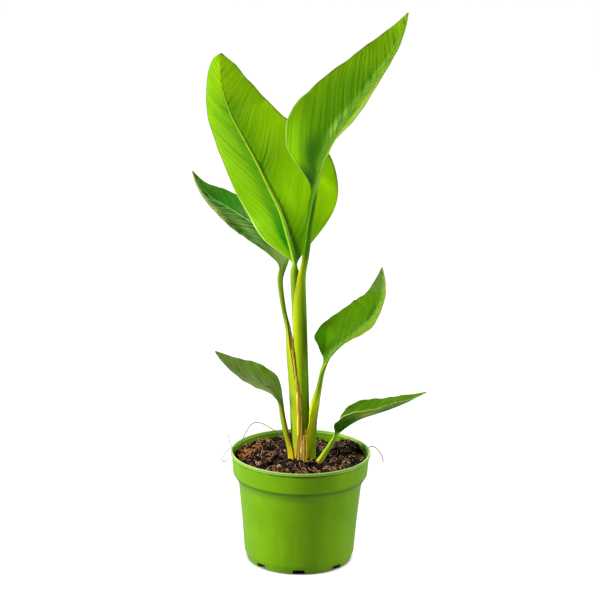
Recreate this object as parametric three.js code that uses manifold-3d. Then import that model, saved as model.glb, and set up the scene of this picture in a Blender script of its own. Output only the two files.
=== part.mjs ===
// A potted bird of paradise: a young plant of six leaves in a 14 cm plastic nursery pot.
// Millimetres, +Z up, seen from -Y. The origin is the middle of the pot's underside, on the ground.

import * as THREE from 'three';
import { mergeVertices } from 'three/addons/utils/BufferGeometryUtils.js';
import Module from 'manifold-3d';

// ---- driving dimensions ----

const clearance = 0.3; // between neighbouring pieces

// pot: a thin injection-moulded shell with a stepped collar and a rolled lip
const potHeight = 112;
const rimRadius = 70;
const lipHeight = 2.7;
const collarTop = 68.9; // outer radius of the collar under the lip
const collarFoot = { r: 67.2, z: 90 };
const shoulder = { r: 61.7, z: 81 }; // where the collar's chamfer meets the body
const bodyFoot = { r: 55.2, z: 9 };
const footRadius = 52;
const potWall = 1.6;
const floorRise = 4; // the underside is raised between the middle pad and the foot ring
const padRadius = 18;
const footRingInner = 46;
const potSectors = 40;
const drains = 8; // notches through the foot ring and the corner above it
const drainWidth = 12;
const drainHeight = 5.4;
const drainReach = 14; // how far a notch runs in from the foot's edge

// potting mix: filled to just under the rim, with a rough top
const soilLevel = 104;
const soilRings = 8;
const soilSectors = 32;
const stemHole = { x: 1.5, y: 0, r: 15 };
const shootHole = { x: 17, y: -12.6, r: 5.8 };
const holeDepth = 30;

// rootstock: the crown that the leaves grow from, and its fleshy roots
const crownTop = 97.7;
const crownRadius = 16.5;
const crownCentre = [5, -4];
const roots = 5;
const rootLength = 62;

// pseudostem: leaf bases wrapped round each other about one slightly leaning line
const stemFoot = 98.6; // height at which the leaf bases start, under the soil
const stemLean = -0.042; // sideways travel per mm of height
const stemAtSoil = 0.1; // X of the stem's line at z = 100
const wing = 0.9; // thickness of a sheath's edge

const bladeEdge = 0.7; // thickness of a blade away from its rib
const creaseWidth = 0.15; // share of a half-blade that the bend beside the rib takes up
const ribTip = 0.8; // half width of a rib at the blade's tip
const ribGrowth = 2.6; // how much wider, each side, it is at the blade's base
const bladeSteps = 2; // cross-sections between two rows of a blade

// ---- helpers ----

const wasm = await Module();
wasm.setup();

const radians = THREE.MathUtils.degToRad;

// A closed solid from a geometry, with its seams joined and its empty triangles dropped.
function solidOf(geometry) {
  const bare = geometry.clone();
  bare.deleteAttribute('normal');
  bare.deleteAttribute('uv');
  const merged = mergeVertices(bare, 1e-4);
  const index = merged.index.array;
  const corners = [];
  for (let i = 0; i < index.length; i += 3) {
    const [a, b, c] = [index[i], index[i + 1], index[i + 2]];
    if (a !== b && b !== c && c !== a) corners.push(a, b, c);
  }
  return new wasm.Manifold(new wasm.Mesh({
    numProp: 3,
    vertProperties: new Float32Array(merged.attributes.position.array),
    triVerts: new Uint32Array(corners),
  }));
}

function geometryOf(solid) {
  const mesh = solid.getMesh();
  const geometry = new THREE.BufferGeometry();
  geometry.setAttribute('position', new THREE.BufferAttribute(mesh.vertProperties, 3));
  geometry.setIndex(new THREE.BufferAttribute(mesh.triVerts, 1));
  return geometry;
}

// A solid of revolution about Z from (radius, height) points that start and end on the axis.
function turned(profile, sectors) {
  const points = profile.map(([r, z]) => new THREE.Vector2(r, z));
  return new THREE.LatheGeometry(points, sectors).rotateX(Math.PI / 2);
}

// Catmull-Rom between rows of numbers; `at` counts rows from 0.
function between(rows, at) {
  const last = rows.length - 1;
  const i = Math.min(Math.floor(at), last - 1);
  const t = at - i;
  const row = (k) => rows[Math.min(Math.max(k, 0), last)];
  const [a, b, c, d] = [row(i - 1), row(i), row(i + 1), row(i + 2)];
  return b.map((value, k) => {
    const rise = (c[k] - a[k]) / 2;
    const fall = (d[k] - b[k]) / 2;
    const step = c[k] - b[k];
    return value + rise * t + (3 * step - 2 * rise - fall) * t * t + (rise + fall - 2 * step) * t ** 3;
  });
}

// ---- pot ----

const outerPotProfile = [
  [0, 0], [padRadius, 0], [padRadius + 3, floorRise], [footRingInner - 3, floorRise],
  [footRingInner, 0], [footRadius, 0], [bodyFoot.r, bodyFoot.z], [57.6, 40], [60.6, 70],
  [shoulder.r, shoulder.z], [collarFoot.r, collarFoot.z], [collarTop, potHeight - lipHeight - 0.6],
  [rimRadius, potHeight - lipHeight], [rimRadius, potHeight],
];

// The inside, from the collar down the wall to the foot ring's trough.
const wallInside = [
  [collarFoot.r - potWall, collarFoot.z + 0.6], [shoulder.r - potWall, shoulder.z + 0.6],
  [57.6 - potWall, 40], [bodyFoot.r - potWall, bodyFoot.z], [footRadius - 2, potWall],
];

const innerPotProfile = [
  [rimRadius - 2.2, potHeight], [collarTop - potWall, potHeight - lipHeight - 0.6], ...wallInside,
  [footRingInner + 1.2, potWall], [footRingInner - 1.8, floorRise + potWall],
  [padRadius + 1.8, floorRise + potWall], [padRadius - 1.2, potWall], [0, potWall],
];

function potGeometry() {
  let pot = solidOf(turned([...outerPotProfile, ...innerPotProfile], potSectors));
  for (let k = 0; k < drains; k++) {
    const turn = -Math.PI / 2 + (k * 2 * Math.PI) / drains;
    const slot = new THREE.BoxGeometry(drainReach, drainWidth, 2 * drainHeight)
      .translate(footRadius - 1, 0, 0)
      .rotateZ(turn);
    pot = pot.subtract(solidOf(slot));
  }
  return geometryOf(pot);
}

// ---- potting mix ----

// Height of the soil's surface: a rough fill, heaped at the right and sunk behind the stems.
function soilHeight(x, y) {
  const mound = (cx, cy, wide, high) => high * Math.exp(-(((x - cx) / wide) ** 2) - ((y - cy) / wide) ** 2);
  const swell = 0.6 * Math.sin(0.09 * x + 1.1) + 0.6 * Math.sin(0.11 * y - 0.05 * x);
  const clods = 0.8 * Math.sin(0.31 * x + 0.13 * y) * Math.sin(0.27 * y - 0.09 * x + 0.8);
  return soilLevel + swell + clods + mound(46, 34, 15, 8) + mound(2, -8, 20, 1.2) - mound(26, 48, 12, 6);
}

function soilBody() {
  const low = potWall + clearance;
  const high = low + floorRise;
  const below = [
    [0, low], [padRadius - 1.6, low], [padRadius + 1.4, high], [footRingInner - 1.4, high],
    [footRingInner + 1.6, low], ...wallInside.map(([r, z]) => [r - clearance, z + clearance]).reverse(),
  ];
  const edge = collarFoot.r - potWall + 0.5 - clearance;
  const top = [];
  for (let k = 0; k <= soilRings; k++) top.push([edge * (1 - k / soilRings), soilLevel]);
  const geometry = turned([...below, ...top], soilSectors);
  const position = geometry.attributes.position;
  for (let i = 0; i < position.count; i++) {
    if (Math.abs(position.getZ(i) - soilLevel) > 1e-6) continue;
    position.setZ(i, soilHeight(position.getX(i), position.getY(i)));
  }
  return solidOf(geometry);
}

// Plain round holes that the stems stand in.
function stemHoles() {
  const [main, side] = [stemHole, shootHole].map(({ x, y, r }) => {
    const hole = new THREE.CylinderGeometry(r, r, holeDepth, Math.round(1.9 * r)).rotateX(Math.PI / 2);
    return solidOf(hole.translate(x, y, crownTop - 1 + holeDepth / 2));
  });
  return main.add(side);
}

// ---- rootstock ----

// The crown and its roots, made fatter all round by `grow`.
function rootstock(grow) {
  const crown = turned([
    [0, crownTop - 25 - grow], [5 + grow, crownTop - 24 - grow], [12 + grow, crownTop - 15],
    [crownRadius + grow, crownTop - 6], [crownRadius - 1 + grow, crownTop + grow], [0, crownTop + grow],
  ], 20).translate(...crownCentre, 0);
  let body = solidOf(crown);
  for (let k = 0; k < roots; k++) {
    const turn = (k * 2 * Math.PI) / roots + 0.4;
    const reach = rootLength * (0.55 + 0.08 * Math.sin(3 * k));
    const drop = rootLength * (1 + 0.12 * Math.cos(2 * k));
    const side = 0.35 * Math.sin(2.4 * k + 1);
    const rows = [
      [3, crownTop - 10, 0, 3.6], [0.35 * reach + 6, crownTop - 16, 0.2, 3.4],
      [0.75 * reach, crownTop - 0.45 * drop, side, 2.9], [reach, crownTop - drop - 12, 1.5 * side, 2],
    ];
    body = body.add(solidOf(rootGeometry(rows, turn, grow)));
  }
  return body;
}

// A tapered root through rows of [distance out, height, sideways turn, radius].
function rootGeometry(rows, turn, grow) {
  const sides = 7;
  const steps = 9;
  const end = rows.length - 1;
  const centre = (at) => {
    const [out, height, swing] = between(rows, at);
    const angle = turn + swing;
    return new THREE.Vector3(
      crownCentre[0] + out * Math.cos(angle), crownCentre[1] + out * Math.sin(angle), height);
  };
  const positions = [];
  for (let i = 0; i <= steps; i++) {
    const at = (i / steps) * end;
    const middle = centre(at);
    const along = centre(Math.min(at + 0.02, end)).sub(centre(Math.max(at - 0.02, 0))).normalize();
    const across = new THREE.Vector3(-Math.sin(turn), Math.cos(turn), 0);
    across.addScaledVector(along, -across.dot(along)).normalize();
    const up = new THREE.Vector3().crossVectors(across, along);
    const radius = between(rows, at)[3] + grow;
    if (i === 0) middle.addScaledVector(along, -grow);
    if (i === steps) middle.addScaledVector(along, grow);
    for (let k = 0; k < sides; k++) {
      const angle = (k / sides) * 2 * Math.PI;
      const point = middle.clone()
        .addScaledVector(across, radius * Math.cos(angle))
        .addScaledVector(up, radius * Math.sin(angle));
      positions.push(...point.toArray());
    }
  }
  const corners = [];
  for (let i = 0; i < steps; i++) {
    for (let k = 0; k < sides; k++) {
      const [a, b] = [i * sides + k, i * sides + ((k + 1) % sides)];
      corners.push(a, b + sides, b, a, a + sides, b + sides);
    }
  }
  for (let k = 1; k < sides - 1; k++) {
    const base = steps * sides;
    corners.push(0, k, k + 1, base, base + k + 1, base + k);
  }
  const geometry = new THREE.BufferGeometry();
  geometry.setAttribute('position', new THREE.Float32BufferAttribute(positions, 3));
  geometry.setIndex(corners);
  return geometry;
}

// ---- leaves ----

// A leaf is one sheet lofted through rows from its base to its tip. Its middle line runs on the upper face.
// Each row says where that line is, where the upper face looks, and the cross-section there:
//   half   width of the left and right half, measured along the face, seen from above with the tip up
//   fold   sharp bend of each half beside the rib, towards the upper face, in degrees
//   curl   further even bend from the rib to the edge, in degrees
//   thick  thickness on the middle line; edge, at the margin; ribHalf, half the thick part's width
//   swell  1 gives a round thick part, 2 a crescent

function row({ at, face, half, fold = [0, 0], curl, thick, edge = wing, ribHalf, swell = 1, wave = 0 }) {
  return [...at, ...face, ...half, ...fold, ...curl, thick, edge, ribHalf, swell, wave];
}

const stemLine = (z) => stemAtSoil + stemLean * (z - 100);

// A clasping leaf base: a crescent round the stem's line, thickest at its keel.
function sheathRow({ keel, inner, offset, thick }, z, span, away = 0) {
  const angle = radians(keel);
  const out = [Math.cos(angle), Math.sin(angle)];
  const width = inner * radians(span);
  return row({
    at: [stemLine(z) + offset[0] + (inner + away) * out[0], offset[1] + (inner + away) * out[1], z],
    face: [-out[0], -out[1], 0],
    half: [width, width], curl: [span, span], thick, ribHalf: width, swell: 2,
  });
}

// A free stalk: nearly round, with a shallow channel on its upper face.
function stalkRow(at, face, radius) {
  return row({
    at, face, half: [radius, radius], curl: [42, 42], thick: 1.75 * radius, edge: 0.45 * radius + 0.4,
    ribHalf: 1.05 * radius,
  });
}

function bladeRow({ face, fold, clasp = [0, 0], curl, rib, wave }, at, half, along, count) {
  const t = along / (count - 1);
  const ease = Math.min(1, 3 * t + 0.25) * Math.min(1, 4 * (1 - t) + 0.3);
  const looks = face[0].map((value, k) => value + (face[1][k] - value) * t);
  return row({
    at, face: looks, half, fold: fold.map((bend, side) => bend * ease + clasp[side] * (1 - t) ** 4), curl,
    thick: bladeEdge + rib * (1 - t) ** 0.8, edge: bladeEdge, ribHalf: ribTip + ribGrowth * (1 - t),
    wave: wave * t * (1 - t) * 4,
  });
}

const leaves = [
  {
    name: 'leaf_tall_left', colour: 0x7fb800,
    stalk: [
      [[0.1, 2, stemFoot], 2.9], [[-2.8, 2, 170], 2.9], [[-6.1, 2, 245], 3], [[-8.6, 2.2, 292], 3.2],
    ].map(([at, radius]) => [at, [0, 1, 0], radius]),
    blade: {
      face: [[0.1, 1, 0], [0.1, 1, 0.2]], fold: [8, 27], curl: [6, 10], rib: 4.4, wave: 1.5,
      rows: [
        [[-8.8, 2.5, 308], [4, 4]], [[-16, 4, 334], [39.5, 28]], [[-24, 6, 358], [61.5, 40]],
        [[-36, 8, 382], [67, 43.5]], [[-48, 10, 406], [59, 42]], [[-61, 12, 429], [44, 39]],
        [[-73, 13, 451], [37, 31]], [[-81, 12, 477], [27.5, 20]], [[-83, 9, 500], [14.5, 10.5]],
        [[-82, 7, 511], [0.8, 0.8]],
      ],
    },
  },
  {
    name: 'leaf_tall_right', colour: 0x5f9e00,
    sheath: { keel: -20, inner: 4.8, offset: [0.3, 0], thick: 5.4 },
    spans: [[stemFoot, 148], [145, 144], [190, 136], [242, 116], [268, 98], [283, 72]],
    stalk: [
      [[-2.8, -1.5, 297], [-0.8, 0.3, 0], 3.2], [[0.8, -4, 321], [-0.75, -0.2, 0], 3.1],
      [[3.2, -6.5, 345], [-0.7, -0.5, 0], 2.9], [[6.2, -8.5, 366], [-0.7, -0.7, 0], 2.9],
    ],
    blade: {
      face: [[-0.7, -0.7, 0.1], [-0.75, -0.65, 0.2]], fold: [34, 39], curl: [8, 12], rib: 4, wave: 1.2,
      rows: [
        [[9.8, -10, 386], [7, 4]], [[16, -11, 411], [40, 5]], [[26.6, -13, 434], [49.5, 17]],
        [[39.5, -15, 455], [44.5, 31]], [[53, -18, 477], [38, 39]], [[66, -20, 496], [30.5, 36.5]],
        [[78, -22, 514], [24, 25]], [[88, -25, 536], [13.5, 10.5]], [[94, -30, 558], [0.6, 0.6]],
      ],
    },
  },
  {
    name: 'leaf_back_left', colour: 0x2f7d12,
    sheath: { keel: 165, inner: 8.2, offset: [1.9, -0.7], thick: 2.6 },
    spans: [[stemFoot, 104], [130, 98], [170, 88, 0.7], [195, 74, 1.6], [219, 56, 2.5], [238, 34, 2.6]],
    stalk: [
      [[-17, 4, 254], [1, -0.3, 0], 2], [[-20.2, 5, 272], [1, -0.5, 0.1], 2.1],
      [[-21.8, 7, 288], [0.9, -0.7, 0.2], 2.4],
    ],
    blade: {
      face: [[0.4, -0.75, 0.4], [0, -0.7, 0.7]], fold: [16, 12], curl: [10, 6], rib: 2.6, wave: 1.2,
      rows: [
        [[-21.5, 11, 303], [5, 7]], [[-27, 18, 315], [14, 20]], [[-37, 26, 326], [21, 24]],
        [[-50, 33, 337], [23, 23]], [[-64, 37, 345], [22, 17.5]], [[-78, 40, 353], [17, 16]],
        [[-92, 41, 361], [9.5, 13]], [[-103, 41, 373], [5, 6]], [[-111, 39, 388], [0.5, 0.5]],
      ],
    },
  },
  {
    name: 'leaf_low_left', colour: 0x3f8220,
    sheath: { keel: 190, inner: 10.3, offset: [1.1, -0.5], thick: 3.6 },
    spans: [[stemFoot, 30], [112, 27]],
    stalk: [
      [[-12.2, -2.6, 128], [1, 0.1, 0], 2.5], [[-16.4, -3, 147], [1, 0, 0.2], 2.6],
    ],
    blade: {
      face: [[0.5, -0.5, 0.8], [0.2, -0.5, 0.9]], fold: [18, 22], curl: [10, 10], rib: 1.8, wave: 0.8,
      rows: [
        [[-22, -3, 166], [3, 5.5]], [[-31, -4, 179], [11, 15]], [[-45, -6, 187], [15, 17]],
        [[-59, -8, 194], [14, 16]], [[-72, -9, 204], [8, 10]], [[-86, -10, 218], [0.5, 0.5]],
      ],
    },
  },
  {
    name: 'leaf_low_right', colour: 0x559b0c,
    sheath: { keel: -10, inner: 10.3, offset: [1.1, -0.5], thick: 4.6 },
    spans: [[stemFoot, 80], [114, 74], [130, 60, 0.8], [144, 42, 2]],
    stalk: [
      [[10.3, -3.4, 161], [-1, 0.1, 0], 4.4], [[15.2, -3.6, 178], [-1, 0, 0.1], 2.7],
      [[19, -3.4, 195], [-0.9, -0.3, 0.2], 2],
    ],
    blade: {
      face: [[-0.7, -0.6, 0.5], [-0.6, -0.7, 0.1]], fold: [26, 40], curl: [10, 12], rib: 2.2, wave: 1,
      rows: [
        [[24, -3, 208], [5, 3]], [[27, -3.5, 213], [23.5, 3.4]], [[35, -4, 222], [28, 6]],
        [[47, -5, 233], [27, 11]], [[59, -5, 245], [25, 26]], [[70, -4, 256], [24.5, 27.5]],
        [[77, -1, 270], [18.5, 18.5]], [[78.5, 4, 285], [11.5, 7]], [[77, 9, 301], [0.5, 0.5]],
      ],
    },
  },
  {
    name: 'leaf_side_shoot', colour: 0x4d9410,
    stalk: [
      [[14.8, -12.8, stemFoot], 2.6], [[15.8, -12.4, 104], 2.7], [[21.6, -11.5, 112.5], 2.5],
      [[29.5, -10, 125], 2.1],
    ].map(([at, radius]) => [at, [-0.7, 0, 0.7], radius]),
    blade: {
      face: [[-0.6, -0.1, 0.8], [-0.2, -0.1, 1]], fold: [36, 36], clasp: [10, 60], curl: [10, 10], rib: 1.6,
      wave: 0.8,
      rows: [
        [[36, -9, 134], [3, 4]], [[40, -9, 138], [9, 15]], [[48, -9, 144], [16, 18]],
        [[59, -8, 150], [18.5, 20]], [[74, -7, 155], [17.5, 18]], [[89, -6, 160], [13.7, 15.5]],
        [[105, -5, 167], [8.5, 10.5]], [[124, -3, 177], [0.5, 0.5]],
      ],
    },
  },
];

function leafRows({ sheath, spans = [], stalk, blade }) {
  const count = blade.rows.length;
  return [
    ...spans.map(([z, span, away]) => sheathRow(sheath, z, span, away)),
    ...stalk.map(([at, face, radius]) => stalkRow(at, face, radius)),
    ...blade.rows.map(([at, half], k) => bladeRow(blade, at, half, k, count)),
  ];
}

// The points of one cross-section's upper and lower face, from the left margin to the right one.
function section(values, along, phase) {
  const middle = new THREE.Vector3(...values.slice(0, 3));
  const up = new THREE.Vector3(...values.slice(3, 6));
  const [halfL, halfR, foldL, foldR, curlL, curlR, thick, edge, ribHalf, swell, wave] = values.slice(6);
  up.addScaledVector(along, -up.dot(along)).normalize();
  const side = new THREE.Vector3().crossVectors(along, up);
  const upper = [];
  const lower = [];
  for (const sign of [-1, 1]) {
    const [half, fold, curl] = sign < 0 ? [halfL, foldL, curlL] : [halfR, foldR, curlR];
    const near = Math.min(ribHalf / half, 0.4);
    const stops = [0, near / 2, near, near + (1 - near) / 3, near + (2 * (1 - near)) / 3, 1];
    let [across, rise] = [0, 0];
    const facing = (s) => radians(fold * Math.min(1, s / creaseWidth) + curl * s);
    for (let k = 0; k < stops.length; k++) {
      if (k > 0) {
        const pieces = 6;
        const step = ((stops[k] - stops[k - 1]) * half) / pieces;
        for (let i = 0; i < pieces; i++) {
          const angle = facing(stops[k - 1] + ((i + 0.5) / pieces) * (stops[k] - stops[k - 1]));
          across += step * Math.cos(angle);
          rise += step * Math.sin(angle);
        }
      }
      const angle = facing(stops[k]);
      const bulge = Math.cos((Math.PI / 2) * Math.min(1, (stops[k] * half) / ribHalf));
      const depth = edge + (thick - edge) * Math.max(bulge, 0) ** swell;
      const ripple = wave * stops[k] ** 2 * Math.sin(phase + sign);
      const point = middle.clone().addScaledVector(side, sign * across).addScaledVector(up, rise + ripple);
      const under = point.clone()
        .addScaledVector(up, -depth * Math.cos(angle))
        .addScaledVector(side, sign * depth * Math.sin(angle));
      if (sign < 0) { upper.unshift(point); lower.unshift(under); }
      if (sign > 0 && k > 0) { upper.push(point); lower.push(under); }
    }
  }
  return { upper, lower };
}

function leafGeometry(leaf) {
  const rows = leafRows(leaf);
  const last = rows.length - 1;
  const bladeStart = last - (leaf.blade.rows.length - 1);
  const stops = [];
  for (let k = 0; k < last; k++) {
    const steps = k < bladeStart - 1 ? 1 : bladeSteps;
    for (let i = 0; i < steps; i++) stops.push(k + i / steps);
  }
  stops.push(last);
  const place = (at) => new THREE.Vector3(...between(rows, at).slice(0, 3));
  const sections = stops.map((at) => {
    const along = place(Math.min(at + 0.05, last)).sub(place(Math.max(at - 0.05, 0))).normalize();
    return section(between(rows, at), along, 2.1 * at);
  });
  const width = sections[0].upper.length;
  const positions = [];
  for (const { upper, lower } of sections) {
    for (const point of [...upper, ...lower]) positions.push(...point.toArray());
  }
  const top = (i, j) => i * 2 * width + j;
  const under = (i, j) => top(i, j) + width;
  const corners = [];
  const quad = (a, b, c, d) => corners.push(a, b, c, a, c, d);
  for (let i = 0; i < stops.length - 1; i++) {
    for (let j = 0; j < width - 1; j++) {
      quad(top(i, j), top(i, j + 1), top(i + 1, j + 1), top(i + 1, j));
      corners.push(under(i, j), under(i + 1, j + 1), under(i, j + 1));
      corners.push(under(i, j), under(i + 1, j), under(i + 1, j + 1));
    }
    quad(top(i, 0), top(i + 1, 0), under(i + 1, 0), under(i, 0));
    quad(top(i, width - 1), under(i, width - 1), under(i + 1, width - 1), top(i + 1, width - 1));
  }
  const end = stops.length - 1;
  for (let j = 0; j < width - 1; j++) {
    quad(top(0, j), under(0, j), under(0, j + 1), top(0, j + 1));
    quad(top(end, j), top(end, j + 1), under(end, j + 1), under(end, j));
  }
  const geometry = new THREE.BufferGeometry();
  geometry.setAttribute('position', new THREE.Float32BufferAttribute(positions, 3));
  geometry.setIndex(corners);
  return geometry;
}

// ---- assembly ----

const plant = new THREE.Group();

function addPiece(name, geometry, color, roughness) {
  const mesh = new THREE.Mesh(geometry, new THREE.MeshStandardMaterial({ color, roughness, metalness: 0 }));
  mesh.name = name;
  plant.add(mesh);
}

addPiece('pot', potGeometry(), 0x76ad16, 0.45);
const pottingMix = soilBody().subtract(rootstock(clearance)).subtract(stemHoles());
addPiece('potting_mix', geometryOf(pottingMix), 0x2b1a12, 0.95);
addPiece('rootstock', geometryOf(rootstock(0)), 0xc9a36a, 0.8);
for (const leaf of leaves) addPiece(leaf.name, leafGeometry(leaf), leaf.colour, 0.45);

export default plant;
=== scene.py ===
# A young bird of paradise in a 14 cm nursery pot, dressed for the photograph's view.
import math
import random
import bpy
import numpy as np
from mathutils import Matrix, Vector, noise
from mathutils.bvhtree import BVHTree


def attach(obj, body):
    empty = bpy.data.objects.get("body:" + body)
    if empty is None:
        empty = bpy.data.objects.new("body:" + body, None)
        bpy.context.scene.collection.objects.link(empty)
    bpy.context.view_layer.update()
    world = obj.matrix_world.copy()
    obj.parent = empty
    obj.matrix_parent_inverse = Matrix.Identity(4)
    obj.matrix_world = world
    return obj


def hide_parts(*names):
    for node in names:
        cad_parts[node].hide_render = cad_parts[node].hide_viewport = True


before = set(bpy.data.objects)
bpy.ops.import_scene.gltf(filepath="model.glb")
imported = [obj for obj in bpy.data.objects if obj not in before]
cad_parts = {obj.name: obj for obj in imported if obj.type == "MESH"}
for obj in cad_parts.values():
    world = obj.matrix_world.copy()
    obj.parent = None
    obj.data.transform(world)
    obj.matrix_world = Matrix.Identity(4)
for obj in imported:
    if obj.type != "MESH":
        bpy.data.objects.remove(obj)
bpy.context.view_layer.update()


# ---- Camera -------------------------------------------------------------------------------
# The photograph was taken from just over two metres away with a long lens, from a little above
# the leaves, and it leans by just under a degree.
mm = 0.001
looking_down = 15.45
leaning = 0.9
camera = bpy.data.objects.new("camera", bpy.data.cameras.new("camera"))
bpy.context.collection.objects.link(camera)
camera.data.lens = 140
camera.data.sensor_width = 36
camera.location = (-3 * mm, -2212 * mm, 880 * mm)
camera.rotation_euler = (math.radians(90 - looking_down), 0, 0)
camera.rotation_euler.rotate_axis("Z", math.radians(leaning))
bpy.context.scene.camera = camera
bpy.context.scene.view_settings.view_transform = "Standard"


# ---- Studio -------------------------------------------------------------------------------
# A white paper floor in a white room, with a strong soft light at the left, a weaker one at the
# right, and one behind that shines through the leaves. The front is left a little darker.
def paint(red, green, blue):
    """A colour as a paint chart gives it, 0 to 255, turned into the light that it sends back."""
    shares = (red / 255, green / 255, blue / 255)
    return [((c + 0.055) / 1.055) ** 2.4 if c > 0.04 else c / 12.92 for c in shares] + [1]


def feed(tree, node, inputs):
    """Sets a node's inputs, each to a number or colour, or to another node's output."""
    for name, value in inputs.items():
        if isinstance(value, bpy.types.NodeSocket):
            tree.links.new(value, node.inputs[name])
        else:
            node.inputs[name].default_value = value
    return node


def put(tree, kind, inputs=None, **settings):
    node = tree.nodes.new("ShaderNode" + kind)
    for name, value in settings.items():
        setattr(node, name, value)
    return feed(tree, node, inputs or {})


def sum_of(tree, operation, a, b=0.0, c=0.0):
    return put(tree, "Math", {0: a, 1: b, 2: c}, operation=operation).outputs[0]


def times(tree, a, b):
    return sum_of(tree, "MULTIPLY", a, b)


def ranged(tree, value, low, high):
    """low where value is 0 and high where it is 1."""
    return put(tree, "MapRange", {"Value": value, "To Min": low, "To Max": high}).outputs[0]


def fade(tree, value, low, high):
    """0 below low and 1 above high, with a smooth rise. With high under low it falls instead."""
    inputs = {"Value": value, "From Min": low, "From Max": high}
    return put(tree, "MapRange", inputs, interpolation_type="SMOOTHSTEP").outputs[0]


def place_on(tree):
    return put(tree, "TexCoord").outputs["Object"]


def length_of(tree, vector):
    return put(tree, "VectorMath", {0: vector}, operation="LENGTH").outputs["Value"]


def new_finish(name):
    """An empty material with its Principled shader, ready for a piece's own nodes."""
    finish = bpy.data.materials.new(name)
    finish.use_nodes = True
    return finish, finish.node_tree, finish.node_tree.nodes["Principled BSDF"]


def add_piece(name, points, faces, finishes):
    """A mesh object from points in metres, with smooth faces."""
    mesh = bpy.data.meshes.new(name)
    mesh.from_pydata([tuple(p) for p in points], [], faces)
    for finish in finishes:
        mesh.materials.append(finish)
    mesh.shade_smooth()
    piece = bpy.data.objects.new(name, mesh)
    bpy.context.collection.objects.link(piece)
    return piece


floor_half = 30
pot_shadow = (0.049, 0.056)
floor_paper, tree, shader = new_finish("floor_paper")
seen = put(tree, "LightPath").outputs["Is Camera Ray"]
away = length_of(tree, place_on(tree))
feed(tree, shader, {
    "Base Color": paint(118, 118, 118), "Roughness": 0.9, "Specular IOR Level": 0,
    "Emission Color": (1, 1, 1, 1),
    "Emission Strength": times(tree, ranged(tree, seen, 0.3, 0.96), fade(tree, away, *pot_shadow))})
corners = [(x * floor_half, y * floor_half, 0) for x, y in ((-1, -1), (1, -1), (1, 1), (-1, 1))]
floor = add_piece("floor", corners, [(0, 1, 2, 3)], [floor_paper])

room = bpy.data.worlds.new("white_room")
bpy.context.scene.world = room
room.use_nodes = True
tree = room.node_tree
seen = put(tree, "LightPath").outputs["Is Camera Ray"]
feed(tree, tree.nodes["Background"], {"Color": (1, 1, 1, 1), "Strength": ranged(tree, seen, 0.18, 1.0)})


def soft_light(name, place, target, size, watts):
    lamp = bpy.data.lights.new(name, "AREA")
    lamp.shape = "DISK"
    lamp.size = size
    lamp.energy = watts
    light = bpy.data.objects.new(name, lamp)
    bpy.context.collection.objects.link(light)
    light.location = place
    light.rotation_euler = (Vector(target) - Vector(place)).to_track_quat("-Z", "Y").to_euler()


soft_light("key_left", (-2.0, -0.66, 1.3), (0, 0, 0.25), 0.7, 104)
soft_light("back", (-0.5, 1.6, 1.6), (0, 0, 0.3), 1.2, 30)
soft_light("fill_right", (2.0, 0.0, 0.8), (0, 0, 0.25), 0.9, 38)


# ---- Pot ----------------------------------------------------------------------------------
# A thin nursery pot, injection-moulded in lime-green polypropylene: tapered body, stepped collar
# that stacked pots rest on, thin rolled lip, and eight notches through the foot for water.
pot_height = 112
rim_radius = 70
lip_foot = 109.3
collar_top = 68.9
collar_foot = (67.2, 90)
shoulder = (61.7, 81)
body_high = (60.6, 70)
body_low = (57.6, 40)
body_foot = (55.2, 9)
foot_radius = 52
floor_rise = 4
hub = 0.6
pot_wall = 1.6
pot_turns = 240
drains = 8
drain_width = 12
drain_height = 5.4


def rounded(profile):
    """The points of a profile whose rows are (radius, height, size of the corner's round)."""
    line = []
    for k, (r, z, size) in enumerate(profile):
        if size == 0:
            line.append((r, z))
            continue
        here = Vector((r, z))
        ends = []
        for other in (profile[k - 1], profile[(k + 1) % len(profile)]):
            way = Vector(other[:2]) - here
            ends.append(here + way.normalized() * min(size, way.length * 0.45))
        for i in range(5):
            t = i / 4
            line.append(tuple(ends[0] * (1 - t) ** 2 + here * 2 * t * (1 - t) + ends[1] * t * t))
    return line


def on_circle(radius, step, steps):
    """Where the given step of a full round of steps lies, on a circle about Z."""
    angle = 2 * math.pi * step / steps
    return radius * math.cos(angle), radius * math.sin(angle)


def in_metres(x, y, z):
    return x * mm, y * mm, z * mm


def ring_faces(here, there, count):
    """The faces between two rings of count points. here and there are the rings' first points."""
    return [(here + j, there + j, there + (j + 1) % count, here + (j + 1) % count) for j in range(count)]


def turned(name, line, turns, finishes):
    """A closed ring of (radius, height) points in mm, turned about Z."""
    points, faces = [], []
    count = len(line)
    for i in range(turns):
        points += [in_metres(*on_circle(r, i, turns), z) for r, z in line]
        faces += ring_faces(i * count, (i + 1) % turns * count, count)
    return add_piece(name, points, faces, finishes)


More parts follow.
